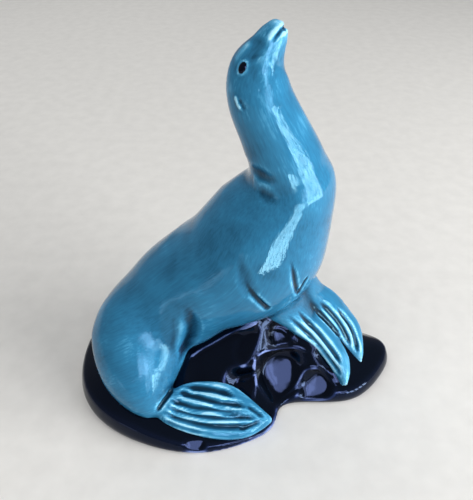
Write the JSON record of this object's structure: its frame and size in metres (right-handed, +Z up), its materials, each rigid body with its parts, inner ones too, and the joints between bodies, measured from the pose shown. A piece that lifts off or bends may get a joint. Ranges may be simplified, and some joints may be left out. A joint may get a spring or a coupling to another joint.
{
  "type": "pottery sea lion figurine",
  "caption": "Glazed pottery sea lion sitting upright on a dark rock, head raised, with ribbed front flippers and a fanned hind flipper.",
  "frame": {"origin": "middle of the outline seen from above, on the flat underside of the rock", "axes": "+Z up; +X towards the front flippers and the front end of the rock; +Y away from the side that carries the hind flipper"},
  "size_m": [0.153, 0.1, 0.1666],
  "materials": {
    "blue_glaze": "glossy translucent teal blue glaze",
    "dark_glaze": "glossy near black navy glaze on the rock"
  },
  "bodies": {
    "root": {"sea_lion_figurine": "blue_glaze"}
  },
  "joints": []
}
